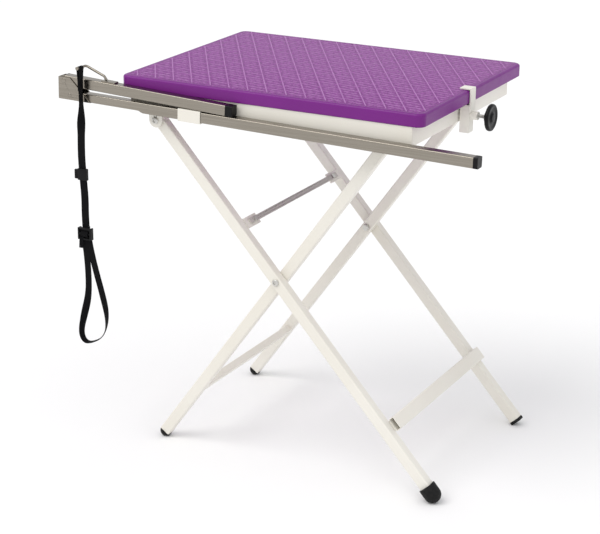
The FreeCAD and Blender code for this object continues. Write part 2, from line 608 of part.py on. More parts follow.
def make_leash():
    y0, y1 = STRAP_Y - LOOP_WIDTH / 2, STRAP_Y + LOOP_WIDTH / 2
    inner, outer = LOOP_INNER_R, LOOP_OUTER_R
    seam_top, seam_end = HOOK_Z - 20, HOOK_Z - 45
    half_seam = STRAP_THICK
    ring = rod(STRAP_X, y0, HOOK_Z, Y, outer, LOOP_WIDTH)
    ring = ring.fuse(box(STRAP_X - outer, STRAP_X + outer, y0, y1, HOOK_Z - 9, HOOK_Z))
    core = rod(STRAP_X, y0, HOOK_Z, Y, inner, LOOP_WIDTH)
    core = core.fuse(box(STRAP_X - inner, STRAP_X + inner, y0, y1, HOOK_Z - 5, HOOK_Z))
    throat = plate([(STRAP_X - outer, HOOK_Z - 9), (STRAP_X + outer, HOOK_Z - 9),
                    (STRAP_X + half_seam, seam_top), (STRAP_X - half_seam, seam_top)], y0, y1)
    seam = box(STRAP_X - half_seam, STRAP_X + half_seam, y0, y1, seam_end, seam_top)
    save("leash_loop", ring.fuse([throat, seam]).cut(core).removeSplitter())
    swing_z = seam_end - TWIST_LENGTH
    steps = 3
    sections = []
    for k in range(steps + 1):
        part_way = k / steps
        z = seam_end - (TWIST_LENGTH - SWING_GAP) * part_way
        width = LOOP_WIDTH + (STRAP_WIDTH - LOOP_WIDTH) * part_way
        sections.append(strap_section(z, 90 - 90 * part_way, width))
    save("leash_twist", Part.makeLoft(sections, True, True))
    half, t = STRAP_WIDTH / 2, STRAP_THICK / 2
    x0, x1 = STRAP_X - half, STRAP_X + half
    straight = box(x0, x1, STRAP_Y - t, STRAP_Y + t, STRAP_END_Z, swing_z)
    straight = straight.fuse(rod(x0, STRAP_Y, swing_z, X, t, STRAP_WIDTH))
    save("leash_strap", straight.removeSplitter())
    upper = box(x0 - 1, x1 + 1.5, STRAP_Y - 3, STRAP_Y + 3, 538, 563)
    save("leash_slider_upper", upper.cut(box(x0, x1, STRAP_Y - t, STRAP_Y + t, 537, 564)))
    slider_end = STRAP_END_Z - 24
    save("leash_slider_lower", box(-396, -368, STRAP_Y - 9.5, STRAP_Y + 4, slider_end, STRAP_END_Z))
    save("leash_noose", band(NOOSE, LOOP_WIDTH, STRAP_THICK, 0.45))
    save("leash_tail", box(-393, -385, STRAP_Y - 9, STRAP_Y - 7.2, slider_end - 18, slider_end))


make_top()
make_under_frame()
make_top_pivots()
make_catches()
make_outer_legs()
make_inner_legs()
make_cross_pivots()
make_stretchers()
make_post()
make_arm()
make_sleeve()
make_clamp()
make_leash()
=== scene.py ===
import json
import math
import bmesh
import bpy
from mathutils import Matrix, Vector


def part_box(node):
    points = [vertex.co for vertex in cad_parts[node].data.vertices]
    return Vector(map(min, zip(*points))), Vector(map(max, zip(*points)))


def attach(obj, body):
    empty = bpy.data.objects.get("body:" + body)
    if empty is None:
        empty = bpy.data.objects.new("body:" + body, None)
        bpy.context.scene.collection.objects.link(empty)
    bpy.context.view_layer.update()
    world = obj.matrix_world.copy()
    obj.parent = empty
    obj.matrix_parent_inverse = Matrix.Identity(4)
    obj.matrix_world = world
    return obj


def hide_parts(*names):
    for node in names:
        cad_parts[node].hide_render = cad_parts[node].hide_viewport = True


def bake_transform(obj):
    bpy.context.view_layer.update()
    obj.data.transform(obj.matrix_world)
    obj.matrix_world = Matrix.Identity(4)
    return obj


# Folding pet grooming table. Metres, in the row frame. Places come from the CAD nodes' boxes,
# and the leash follows its route, given about the middle of the table top.

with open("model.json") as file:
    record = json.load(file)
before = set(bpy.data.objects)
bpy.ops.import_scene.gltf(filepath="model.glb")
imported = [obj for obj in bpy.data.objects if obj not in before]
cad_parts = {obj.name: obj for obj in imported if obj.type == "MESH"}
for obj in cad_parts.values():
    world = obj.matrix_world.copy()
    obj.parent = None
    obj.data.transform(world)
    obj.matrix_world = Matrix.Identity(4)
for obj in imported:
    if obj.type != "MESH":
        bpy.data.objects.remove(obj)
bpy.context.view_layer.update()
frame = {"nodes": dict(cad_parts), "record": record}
NODES = frame["nodes"]
SUBPARTS = frame["record"]["subparts"]
SCENE = bpy.context.scene
X, Y, Z = Vector((1, 0, 0)), Vector((0, 1, 0)), Vector((0, 0, 1))

# --- the camera and the light -----------------------------------------------------------
AZIMUTH = math.radians(27.64)
ELEVATION = math.radians(19.07)
ROLL = math.radians(0.44)
CAMERA_AT = Vector((1.58459, -3.0889, 1.5501))
LENS_MM = 110.6
FLOOR_SIZE = 60.0


def make_camera():
    back = Vector((math.sin(AZIMUTH) * math.cos(ELEVATION), -math.cos(AZIMUTH) * math.cos(ELEVATION),
                   math.sin(ELEVATION)))
    right = Vector((math.cos(AZIMUTH), math.sin(AZIMUTH), 0))
    up = back.cross(right)
    side = right * math.cos(ROLL) + up * math.sin(ROLL)
    top = up * math.cos(ROLL) - right * math.sin(ROLL)
    data = bpy.data.cameras.new("camera")
    data.lens = LENS_MM
    data.sensor_width = 36.0
    data.sensor_fit = "HORIZONTAL"
    data.clip_end = 100.0
    camera = bpy.data.objects.new("camera", data)
    SCENE.collection.objects.link(camera)
    camera.matrix_world = Matrix.Translation(CAMERA_AT) @ Matrix((side, top, back)).transposed().to_4x4()
    SCENE.camera = camera


def soft_sun(name, strength, angle_deg, toward, colour):
    """A wide sun lamp that shines toward a direction."""
    data = bpy.data.lights.new(name, "SUN")
    data.energy = strength
    data.angle = math.radians(angle_deg)
    data.color = colour
    lamp = bpy.data.objects.new(name, data)
    SCENE.collection.objects.link(lamp)
    lamp.rotation_euler = Vector(toward).to_track_quat("-Z", "Y").to_euler()


def make_studio():
    SCENE.view_settings.view_transform = "Standard"
    SCENE.view_settings.look = "None"
    world = bpy.data.worlds.new("studio")
    SCENE.world = world
    world.use_nodes = True
    sky = world.node_tree.nodes["Background"]
    sky.inputs["Color"].default_value = (0.98, 0.985, 1.0, 1)
    sky.inputs["Strength"].default_value = 0.78
    soft_sun("key", 1.15, 40, (0.55, 0.75, -1.3), (1.0, 0.985, 0.96))
    soft_sun("fill", 0.35, 70, (-0.8, 0.5, -0.9), (1.0, 1.0, 1.0))
    bpy.ops.mesh.primitive_plane_add(size=FLOOR_SIZE)
    floor = bpy.context.object
    floor.name = "floor"
    paper = bpy.data.materials.new("floor_paper")
    paper.use_nodes = True
    shader = paper.node_tree.nodes["Principled BSDF"]
    shader.inputs["Base Color"].default_value = (0.93, 0.93, 0.93, 1)
    shader.inputs["Roughness"].default_value = 0.9
    shader.inputs["Specular IOR Level"].default_value = 0.1
    floor.data.materials.append(paper)


# --- materials --------------------------------------------------------------------------
class Recipe:
    """A Principled material that is built up node by node."""

    def __init__(self, name, **inputs):
        self.material = bpy.data.materials.new(name)
        self.material.use_nodes = True
        self.tree = self.material.node_tree
        self.shader = self.tree.nodes["Principled BSDF"]
        for key, value in inputs.items():
            self.shader.inputs[key.replace("_", " ")].default_value = value
        self.place = self.tree.nodes.new("ShaderNodeTexCoord").outputs["Object"]

    def node(self, kind, settings=None, **inputs):
        made = self.tree.nodes.new(kind)
        for key, value in (settings or {}).items():
            setattr(made, key, value)
        for key, value in inputs.items():
            socket = made.inputs[key.replace("_", " ")]
            if isinstance(value, bpy.types.NodeSocket):
                self.tree.links.new(value, socket)
            else:
                socket.default_value = value
        return made

    def noise(self, scale, detail=3.0, stretch=(1, 1, 1), roughness=0.5):
        """Noise in object space; a small stretch number draws it out along that axis."""
        mapped = self.node("ShaderNodeMapping", Vector=self.place, Scale=stretch)
        made = self.node("ShaderNodeTexNoise", Vector=mapped.outputs["Vector"], Scale=scale, Detail=detail,
                         Roughness=roughness)
        return made.outputs["Fac"]

    def ramp(self, value, stops):
        made = self.node("ShaderNodeValToRGB", Fac=value)
        elements = made.color_ramp.elements
        while len(elements) < len(stops):
            elements.new(0.5)
        for element, (position, colour) in zip(elements, stops):
            element.position = position
            element.color = (*colour, 1)
        return made.outputs["Color"]

    def spread(self, value, low, high):
        """Map a 0..1 value to low..high."""
        made = self.node("ShaderNodeMapRange", Value=value, To_Min=low, To_Max=high)
        return made.outputs["Result"]

    def link(self, value, name):
        self.tree.links.new(value, self.shader.inputs[name])

    def bump(self, height, strength, distance, under=None):
        made = self.node("ShaderNodeBump", Height=height, Strength=strength, Distance=distance)
        if under is not None:
            self.tree.links.new(under, made.inputs["Normal"])
        self.link(made.outputs["Normal"], "Normal")
        return made.outputs["Normal"]


def moulded_purple():
    """Glossy pigmented moulding: slow colour drift, faint orange peel, fine rub marks."""
    r = Recipe("purple_board", Coat_Weight=0.06, Coat_Roughness=0.25, Specular_IOR_Level=0.3)
    r.link(r.ramp(r.noise(5.0), ((0.3, (0.155, 0.006, 0.19)), (0.7, (0.185, 0.010, 0.225)))), "Base Color")
    r.link(r.spread(r.noise(60.0, 4.0), 0.3, 0.46), "Roughness")
    peel = r.bump(r.noise(260.0, 2.0), 0.12, 0.0004)
    r.bump(r.noise(2200.0, 2.0), 0.08, 0.0001, peel)
    return r.material


def embossed_purple():
    """Non-slip rubber: matte, fine leather grain between, and a painted highlight that makes the tops of its
    ribs and bars paler.
    """
    r = Recipe("purple_mat", Specular_IOR_Level=0.3, Sheen_Weight=0.12, Sheen_Roughness=0.5,
               Sheen_Tint=(0.9, 0.75, 0.95, 1))
    height = r.node("ShaderNodeAttribute", {"attribute_name": "relief"}).outputs["Fac"]
    grain = r.noise(260.0, 4.0)
    field = r.ramp(grain, ((0.36, (0.120, 0.010, 0.140)), (0.64, (0.285, 0.062, 0.315))))
    # painted highlight: a paler purple for the raised rib and bar tops, mixed in by their relief height
    rib_top_highlight = r.ramp(r.noise(160.0, 3.0), ((0.3, (0.33, 0.10, 0.36)), (0.75, (0.50, 0.24, 0.53))))
    mix = r.node("ShaderNodeMix", {"data_type": "RGBA"}, Factor=height)
    sockets = [s for s in mix.inputs if s.type == "RGBA"]
    r.tree.links.new(field, sockets[0])
    r.tree.links.new(rib_top_highlight, sockets[1])
    r.link(next(s for s in mix.outputs if s.type == "RGBA"), "Base Color")
    r.link(r.spread(grain, 0.5, 0.72), "Roughness")
    cell = r.node("ShaderNodeTexVoronoi", Vector=r.place, Scale=520.0).outputs["Distance"]
    pebble = r.bump(cell, 0.5, 0.0005)
    r.bump(r.noise(1500.0, 3.0), 0.3, 0.0002, pebble)
    return r.material


def powder_coat():
    """Cream powder coat: orange peel, slight shade drift, a few dull patches."""
    r = Recipe("cream_paint", Coat_Weight=0.15, Coat_Roughness=0.3)
    r.link(r.ramp(r.noise(4.0, 4.0), ((0.3, (0.77, 0.735, 0.655)), (0.7, (0.82, 0.795, 0.73)))), "Base Color")
    r.link(r.spread(r.noise(35.0, 5.0), 0.3, 0.46), "Roughness")
    peel = r.bump(r.noise(700.0, 2.0), 0.22, 0.0003)
    r.bump(r.noise(90.0, 2.0), 0.05, 0.0006, peel)
    return r.material


def brushed_steel(name, colours, low, high, stretch, metallic=1.0):
    """Steel with fine parallel brush marks drawn out along the small stretch axis."""
    r = Recipe(name, Metallic=metallic)
    brush = r.noise(1.0, 4.0, stretch, 0.65)
    r.link(r.ramp(brush, ((0.3, colours[0]), (0.7, colours[1]))), "Base Color")
    cloud = r.noise(14.0, 3.0)
    both = r.node("ShaderNodeMath", {"operation": "MULTIPLY"})
    r.tree.links.new(brush, both.inputs[0])
    r.tree.links.new(cloud, both.inputs[1])
    r.link(r.spread(both.outputs["Value"], low, high), "Roughness")
    r.bump(brush, 0.12, 0.00008)
    return r.material


def zinc_plate():
    """Bright zinc with the faint spangle and rub marks of small hardware."""
    r = Recipe("zinc", Metallic=1.0)
    spangle = r.node("ShaderNodeTexVoronoi", Vector=r.place, Scale=900.0).outputs["Distance"]
    r.link(r.ramp(spangle, ((0.1, (0.5, 0.49, 0.46)), (0.8, (0.68, 0.67, 0.64)))), "Base Color")
    r.link(r.spread(r.noise(500.0), 0.22, 0.42), "Roughness")
    r.bump(r.noise(1400.0), 0.15, 0.0001)
    return r.material


def rubber():
    r = Recipe("black_rubber", Specular_IOR_Level=0.22)
    dust = r.noise(240.0, 4.0)
    r.link(r.ramp(dust, ((0.35, (0.004, 0.004, 0.0045)), (0.8, (0.013, 0.0125, 0.012)))), "Base Color")
    r.link(r.spread(dust, 0.48, 0.72), "Roughness")
    r.bump(r.noise(1300.0, 3.0), 0.35, 0.0002)
    return r.material


def black_moulding():
    r = Recipe("black_plastic", Specular_IOR_Level=0.18)
    shade = r.ramp(r.noise(120.0), ((0.3, (0.002, 0.002, 0.0025)), (0.8, (0.005, 0.005, 0.006))))
    r.link(shade, "Base Color")
    r.link(r.spread(r.noise(300.0), 0.3, 0.44), "Roughness")
    cell = r.node("ShaderNodeTexVoronoi", Vector=r.place, Scale=1800.0).outputs["Distance"]
    r.bump(cell, 0.18, 0.0002)
    return r.material


def natural_nylon():
    r = Recipe("nylon", Subsurface_Weight=0.1, Subsurface_Scale=0.002)
    r.link(r.ramp(r.noise(200.0), ((0.3, (0.70, 0.69, 0.64)), (0.8, (0.78, 0.77, 0.72)))), "Base Color")
    r.link(r.spread(r.noise(300.0), 0.4, 0.55), "Roughness")
    r.bump(r.noise(900.0), 0.1, 0.0002)
    return r.material


WEAVE_RIB = 0.0011
WEAVE_PICK = 0.0015


def woven_black():
    """Nylon webbing: warp ribs along the band, crossed by picks, from the band's own u and v; painted shade
    darkens the weave's valleys.
    """
    r = Recipe("webbing", Specular_IOR_Level=0.08)
    uv = r.node("ShaderNodeUVMap", {"uv_map": "weave"}).outputs["UV"]
    parts = r.node("ShaderNodeSeparateXYZ", Vector=uv).outputs
    waves = []
    for axis, pitch in (("X", WEAVE_RIB), ("Y", WEAVE_PICK)):
        scaled = r.node("ShaderNodeMath", {"operation": "MULTIPLY"})
        r.tree.links.new(parts[axis], scaled.inputs[0])
        scaled.inputs[1].default_value = 2 * math.pi / pitch
        waves.append(scaled.outputs["Value"])
    shifted = r.node("ShaderNodeMath", {"operation": "ADD"})
    r.tree.links.new(waves[0], shifted.inputs[0])
    r.tree.links.new(waves[1], shifted.inputs[1])
    less = r.node("ShaderNodeMath", {"operation": "SUBTRACT"})
    r.tree.links.new(waves[0], less.inputs[0])
    r.tree.links.new(waves[1], less.inputs[1])
    sines = []
    for source in (shifted, less):
        sine = r.node("ShaderNodeMath", {"operation": "SINE"})
        r.tree.links.new(source.outputs["Value"], sine.inputs[0])
        sines.append(sine.outputs["Value"])
    twill = r.node("ShaderNodeMath", {"operation": "ADD"})
    r.tree.links.new(sines[0], twill.inputs[0])
    r.tree.links.new(sines[1], twill.inputs[1])
    height = r.node("ShaderNodeMapRange", Value=twill.outputs["Value"], From_Min=-2.0, From_Max=2.0)
    weave = height.outputs["Result"]
    # painted shade and highlight: the weave's valleys darker and its crests paler, from the same height as
    # the bump
    r.link(r.ramp(weave, ((0.15, (0.0015, 0.0015, 0.002)), (0.85, (0.007, 0.007, 0.008)))), "Base Color")
    r.link(r.spread(r.noise(700.0), 0.55, 0.8), "Roughness")
    r.bump(weave, 0.8, 0.0003)
    return r.material


LIGHT_STEEL = ((0.25, 0.225, 0.19), (0.35, 0.32, 0.275))
DULL_STEEL = ((0.52, 0.495, 0.46), (0.60, 0.57, 0.53))
MATERIALS = {
    "purple_board": moulded_purple(),
    "purple_mat": embossed_purple(),
    "cream_paint": powder_coat(),
    "stainless": brushed_steel("stainless", LIGHT_STEEL, 0.1, 0.5, (6, 900, 900)),
    "zinc": zinc_plate(),
    "black_rubber": rubber(),
    "black_plastic": black_moulding(),
    "webbing": woven_black(),
    "nylon": natural_nylon(),
    "dark_steel": brushed_steel("dark_steel", DULL_STEEL, 0.4, 0.75, (700, 700, 700), metallic=0.25),
}


# --- CAD nodes that stay ------------------------------------------------------------------
SHARP = math.radians(32)
EDGE = {"table_top": 0.0, "post_tube": 0.0, "arm_tube": 0.0, "leash_hook": 0.0}
EDGE_SOFT = 0.0005


def finish_cad_nodes():
    """Material, softened sharp edges and clean shading for every CAD node."""
    for part in SUBPARTS:
        obj = NODES[part["node"]]
        obj.data.materials.clear()
        obj.data.materials.append(MATERIALS[part["material_slot"]])
        weld = obj.modifiers.new("weld", "WELD")
        weld.merge_threshold = 0.00002
        width = EDGE.get(part["node"], EDGE_SOFT)
        if width > 0:
            bevel = obj.modifiers.new("edges", "BEVEL")
            bevel.width = width
            bevel.segments = 2
            bevel.limit_method = "ANGLE"
            bevel.angle_limit = SHARP
            bevel.use_clamp_overlap = True
        shade = obj.modifiers.new("shade", "WEIGHTED_NORMAL")
        shade.keep_sharp = True
        shade.weight = 100


# --- mesh helpers -------------------------------------------------------------------------
def piece(name, mesh, body, slot, replaces=(), smooth=40):
    """Link a finished mesh as a piece on a body, shaded smooth up to an angle."""
    mesh.materials.clear()
    mesh.materials.append(MATERIALS[slot])
    obj = bpy.data.objects.new(name, mesh)
    SCENE.collection.objects.link(obj)
    mesh.shade_smooth()
    mesh.set_sharp_from_angle(angle=math.radians(smooth))
    if body:
        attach(obj, body)
    if replaces:
        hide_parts(*replaces)
    return obj


def to_mesh(bm, name):
    bmesh.ops.recalc_face_normals(bm, faces=bm.faces)
    mesh = bpy.data.meshes.new(name)
    bm.to_mesh(mesh)
    bm.free()
    return mesh


def skin(bm, rings, closed=True, caps=True):
    """Quads between rings of vertices, with an n-gon over each end."""
    count = len(rings[0])
    spans = count if closed else count - 1
    for low, high in zip(rings, rings[1:]):
        for k in range(spans):
            n = (k + 1) % count
            bm.faces.new((low[k], low[n], high[n], high[k]))
    if caps:
        bm.faces.new(list(reversed(rings[0])))
        bm.faces.new(rings[-1])


def cross_axes(axis):
    """Two directions square to an axis."""
    axis = Vector(axis).normalized()
    helper = Z if abs(axis.z) < 0.9 else X
    u = axis.cross(helper).normalized()
    return u, axis.cross(u)


def turned(bm, origin, axis, profile, steps=40, hexagon=()):
    """Turned shape from (radius, distance along the axis) points; hexagon lists six-sided rings."""
    u, v = cross_axes(axis)
    axis = Vector(axis).normalized()
    rings = []
    for index, (radius, along) in enumerate(profile):
        ring = []
        for k in range(steps):
            angle = 2 * math.pi * k / steps
            r = radius
            if index in hexagon:
                wedge = (angle % (math.pi / 3)) - math.pi / 6
                r = radius / math.cos(wedge)
            outward = u * math.cos(angle) + v * math.sin(angle)
            ring.append(bm.verts.new(Vector(origin) + axis * along + outward * r))
        rings.append(ring)
    skin(bm, rings)


def swept(bm, line, outline_at, side_at):
    """Sweep an outline along a line. side_at(t) is the outline's first axis, t runs from 0 to 1."""
    total = sum((b - a).length for a, b in zip(line, line[1:]))
    uv = bm.loops.layers.uv.verify() if bm.loops.layers.uv else bm.loops.layers.uv.new("weave")
    run = 0.0
    rings, runs = [], []
    for i, point in enumerate(line):
        before, after = line[max(i - 1, 0)], line[min(i + 1, len(line) - 1)]
        tangent = (after - before).normalized()
        if i:
            run += (point - line[i - 1]).length
        t = run / total
        side = Vector(side_at(t))
        side = (side - tangent * side.dot(tangent)).normalized()
        face = tangent.cross(side)
        rings.append([bm.verts.new(point + side * a + face * b) for a, b in outline_at(t)])
        runs.append((run, outline_at(t)))
    around = [0.0]
    first = runs[0][1]
    for (a0, b0), (a1, b1) in zip(first, first[1:] + first[:1]):
        around.append(around[-1] + math.hypot(a1 - a0, b1 - b0))
    count = len(first)
    for i in range(len(rings) - 1):
        for k in range(count):
            n = (k + 1) % count
            face = bm.faces.new((rings[i][k], rings[i][n], rings[i + 1][n], rings[i + 1][k]))
            coords = ((around[k], runs[i][0]), (around[k + 1], runs[i][0]),
                      (around[k + 1], runs[i + 1][0]), (around[k], runs[i + 1][0]))
            for loop, value in zip(face.loops, coords):
                loop[uv].uv = value
    bm.faces.new(list(reversed(rings[0])))
    bm.faces.new(rings[-1])


def band_outline(width, thick):
    """Outline of webbing: flat faces with a slightly fuller, rounded selvedge."""
    half, t = width / 2, thick / 2
    inner = half - t
    flat = [-inner, -inner * 0.86, -inner * 0.4, 0.0, inner * 0.4, inner * 0.86, inner]
    level = [t, t * 0.86, t * 0.9, t * 0.92, t * 0.9, t * 0.86, t]
    upper = list(zip(flat, level))
    lower = [(-a, -b) for a, b in upper]
    right = [(half - t * 0.3, t * 0.7), (half, 0.0), (half - t * 0.3, -t * 0.7)]
    left = [(-a, -b) for a, b in right]
    return upper + right + lower + left


def soft_box(bm, low, high, radius):
    """Block with rounded edges, between two corners."""
    made = bmesh.ops.create_cube(bm, size=1.0)["verts"]
    low, high = Vector(low), Vector(high)
    middle = (low + high) / 2
    for vert in made:
        vert.co = Vector([m + c * (h - l) for m, c, h, l in zip(middle, vert.co, high, low)])
    edges = list({e for vert in made for e in vert.link_edges})
    bmesh.ops.bevel(bm, geom=edges, offset=radius, segments=3, profile=0.6, affect="EDGES",
                    clamp_overlap=True)


def ellipsoid(bm, at, along, across, up, sizes):
    """Small rounded grain, such as a stitch or a tread bar."""
    made = bmesh.ops.create_uvsphere(bm, u_segments=8, v_segments=5, radius=1.0)["verts"]
    for vert in made:
        c = vert.co
        vert.co = Vector(at) + along * c.x * sizes[0] + across * c.y * sizes[1] + up * c.z * sizes[2]


# --- weld beads ---------------------------------------------------------------------------
BEAD_PITCH = 0.0016
CLAMP_PLATE = 0.0026


def bead(bm, start, end, radius):
    """Rippled weld bead along a straight corner."""
    start, end = Vector(start), Vector(end)
    length = (end - start).length
    steps = max(4, int(length / BEAD_PITCH) * 3)
    axis = (end - start).normalized()
    u, v = cross_axes(axis)
    rings = []
    for i in range(steps + 1):
        along = length * i / steps
        ripple = 1 + 0.14 * math.sin(2 * math.pi * along / BEAD_PITCH)
        fade = min(1.0, 0.35 + 6 * min(i, steps - i) / steps)
        r = radius * ripple * fade
        ring = []
        for k in range(10):
            angle = 2 * math.pi * k / 10
            ring.append(bm.verts.new(start + axis * along + (u * math.cos(angle) + v * math.sin(angle)) * r))
        rings.append(ring)
    skin(bm, rings)


def beads(name, body, runs, radius=0.0016, slot="cream_paint"):
    bm = bmesh.new()
    for start, end in runs:
        bead(bm, start, end, radius)
    return piece(name, to_mesh(bm, name), body, slot, smooth=60)


# --- the leash ------------------------------------------------------------------------------
TOP_MIDDLE = Vector((0.006187, 0.0125, 0))
LEASH_Y = -0.2605
STRAP_WIDTH = 0.017
NOOSE_WIDTH = 0.0145
LOOP_WIDTH = 0.014
WEB_THICK = 0.0016
STRAP_ROUTE = ((-0.384, 0.741), (-0.384, 0.717), (-0.3835, 0.690), (-0.3855, 0.640), (-0.3870, 0.590),
               (-0.3845, 0.545), (-0.3815, 0.505), (-0.3825, 0.470), (-0.3810, 0.432))
NOOSE_ROUTE = ((-0.386, 0.424), (-0.382, 0.395), (-0.379, 0.350), (-0.380, 0.305), (-0.392, 0.262),
               (-0.402, 0.222), (-0.392, 0.202), (-0.372, 0.206), (-0.350, 0.220), (-0.340, 0.244),
               (-0.339, 0.275), (-0.349, 0.315), (-0.362, 0.360), (-0.372, 0.400), (-0.376, 0.424))
TWIST_FROM, TWIST_TO = 0.045, 0.115


def leash_point(x, z):
    return TOP_MIDDLE + Vector((x, LEASH_Y, z))


def smooth_line(points, steps=14):
    """Points along the smooth NURBS line that a route controls."""
    curve = bpy.data.curves.new("route", "CURVE")
    curve.dimensions = "3D"
    curve.resolution_u = steps
    spline = curve.splines.new("NURBS")
    spline.points.add(len(points) - 1)
    for target, point in zip(spline.points, points):
        target.co = (*point, 1)
    spline.order_u = 3
    spline.use_endpoint_u = True
    holder = bpy.data.objects.new("route", curve)
    SCENE.collection.objects.link(holder)
    mesh = bpy.data.meshes.new_from_object(holder)
    line = [vert.co.copy() for vert in mesh.vertices]
    bpy.data.objects.remove(holder)
    bpy.data.curves.remove(curve)
    bpy.data.meshes.remove(mesh)
    return line


def ease(t, start, end):
    t = min(1.0, max(0.0, (t - start) / (end - start)))
    return t * t * (3 - 2 * t)


def heading(degrees):
    """Level direction, 0 along X and 90 along Y."""
    return Vector((math.cos(math.radians(degrees)), math.sin(math.radians(degrees)), 0))


def line_length(line):
    return sum((b - a).length for a, b in zip(line, line[1:]))


def stitches(bm, corners, normal, pitch=0.0026, size=(0.0010, 0.00028, 0.00022)):
    """Row of thread stitches along straight runs."""
    for start, end in zip(corners, corners[1:]):
        run = end - start
        count = max(2, round(run.length / pitch))
        along = run.normalized()
        across = normal.cross(along).normalized()
        for k in range(count):
            ellipsoid(bm, start + run * ((k + 0.5) / count), along, across, normal, size)


def make_strap():
    line = smooth_line([leash_point(x, z) for x, z in STRAP_ROUTE])
    long = line_length(line)
    twist_start, twist_end = TWIST_FROM / long, TWIST_TO / long

    def side(t):
        return heading(90 - 90 * ease(t, twist_start, twist_end))

    def outline(t):
        width = LOOP_WIDTH + (STRAP_WIDTH - LOOP_WIDTH) * ease(t, twist_start, twist_end)
        return band_outline(width, WEB_THICK)

    bm = bmesh.new()
    swept(bm, line, outline, side)
    strap = piece("leash_strap_webbing", to_mesh(bm, "leash_strap_webbing"), None, "webbing",
                  replaces=("leash_strap", "leash_twist"), smooth=50)
    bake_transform(strap)
    return strap, line, long


def make_loop():
    """Webbing folded over the hook and sewn to itself."""
    low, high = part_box("leash_loop")
    x = (low.x + high.x) / 2
    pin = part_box("leash_hook")
    eye = Vector((x, (low.y + high.y) / 2, pin[1].z - 0.0047))
    ring = 0.0038
    left = [eye + Vector((-0.0012, 0, -0.043)), eye + Vector((-0.0014, 0, -0.022))]
    turn = []
    for k in range(17):
        angle = math.radians(215 - 250 * k / 16)
        turn.append(eye + Vector((math.cos(angle) * ring, 0, math.sin(angle) * ring)))
    right = [eye + Vector((0.0014, 0, -0.022)), eye + Vector((0.0012, 0, -0.043))]
    bm = bmesh.new()
    swept(bm, left + turn + right, lambda t: band_outline(LOOP_WIDTH, WEB_THICK), lambda t: Y)
    loop = piece("leash_loop_webbing", to_mesh(bm, "leash_loop_webbing"), "leash_loop", "webbing",
                 replaces=("leash_loop",), smooth=50)
    bm = bmesh.new()
    half = LOOP_WIDTH / 2 - 0.0016
    for face in (-1, 1):
        at = eye + Vector((face * 0.0022, 0, -0.024))
        a, b = at + Y * half, at - Y * half
        drop = Z * -0.015
        stitches(bm, [a, b, b + drop, a + drop, a], X * face)
        stitches(bm, [a, b + drop], X * face)
        stitches(bm, [b, a + drop], X * face)
    seam = piece("leash_loop_stitching", to_mesh(bm, "leash_loop_stitching"), "leash_loop", "webbing",
                 smooth=80)
    return loop, seam


def make_upper_slider():
    """Cord lock on the strap: a flat body with a thumb tab on its left."""
    at = leash_point(-0.3847, 0.5515)
    bm = bmesh.new()
    half = STRAP_WIDTH / 2
    for face in (-1, 1):
        plate_y = face * 0.0024
        soft_box(bm, at + Vector((-half - 0.0016, plate_y - 0.0013, -0.0115)),
                 at + Vector((half + 0.0016, plate_y + 0.0013, 0.0115)), 0.0009)
    for x0, x1 in ((-half - 0.0018, -half + 0.0002), (half - 0.0002, half + 0.0018)):
        soft_box(bm, at + Vector((x0, -0.0036, -0.0115)), at + Vector((x1, 0.0036, 0.0115)), 0.0008)
    soft_box(bm, at + Vector((-half - 0.0100, -0.0030, -0.0100)),
             at + Vector((-half - 0.0008, 0.0030, 0.0090)), 0.0022)
    for k in range(5):
        rib = at + Vector((-half - 0.0058, -0.0031, -0.0062 + 0.003 * k))
        ellipsoid(bm, rib, X, Y, Z, (0.0032, 0.0007, 0.0006))
    return piece("leash_lock", to_mesh(bm, "leash_lock"), "leash", "black_plastic",
                 replaces=("leash_slider_upper",), smooth=35)


def make_lower_slider():
    """Ladder slider: a frame with two cross bars that the webbing threads through."""
    at = leash_point(-0.382, 0.432)
    bm = bmesh.new()
    half, deep, tall = 0.0135, 0.0034, 0.0120
    for sign in (-1, 1):
        soft_box(bm, at + Vector((sign * half - 0.0018, -deep - 0.0035, -tall)),
                 at + Vector((sign * half + 0.0018, deep, tall)), 0.0011)
    for z0 in (-tall, -0.0016, tall - 0.0032):
        soft_box(bm, at + Vector((-half, -deep - 0.0030, z0)),
                 at + Vector((half, -deep - 0.0004, z0 + 0.0032)), 0.0009)
    soft_box(bm, at + Vector((-half, -deep + 0.0004, -tall)), at + Vector((half, -0.0004, tall)), 0.0008)
    slider = piece("leash_slider", to_mesh(bm, "leash_slider"), "leash", "black_plastic",
                   replaces=("leash_slider_lower",), smooth=35)
    bm = bmesh.new()
    wrap = [at + Vector((0.0006, y, z)) for y, z in
            ((0.0016, 0.0150), (0.0014, 0.0080), (-0.0070, 0.0040), (-0.0094, 0.0), (-0.0070, -0.0045),
             (0.0, -0.0080), (0.0016, -0.0125))]
    swept(bm, smooth_line(wrap, 8), lambda t: band_outline(STRAP_WIDTH, WEB_THICK), lambda t: X)
    folded = piece("leash_slider_webbing", to_mesh(bm, "leash_slider_webbing"), "leash", "webbing", smooth=50)
    bm = bmesh.new()
    tail = [at + Vector((x, y, z)) for x, y, z in
            ((-0.0062, -0.0062, -0.0060), (-0.0066, -0.0072, -0.0150), (-0.0078, -0.0064, -0.0290))]
    swept(bm, smooth_line(tail, 8), lambda t: band_outline(0.0090, WEB_THICK), lambda t: heading(12))
    end = piece("leash_tail_webbing", to_mesh(bm, "leash_tail_webbing"), "leash", "webbing",
                replaces=("leash_tail",), smooth=50)
    return slider, folded, end


def make_noose():
    line = smooth_line([leash_point(x, z) for x, z in NOOSE_ROUTE])

    def side(t):
        return heading(90 * ease(t, 0.2, 0.5) + 90 * ease(t, 0.5, 0.74))

    bm = bmesh.new()
    swept(bm, line, lambda t: band_outline(NOOSE_WIDTH, WEB_THICK), side)
    noose = piece("leash_noose_webbing", to_mesh(bm, "leash_noose_webbing"), "leash", "webbing",
                  replaces=("leash_noose",), smooth=50)
    return noose, line


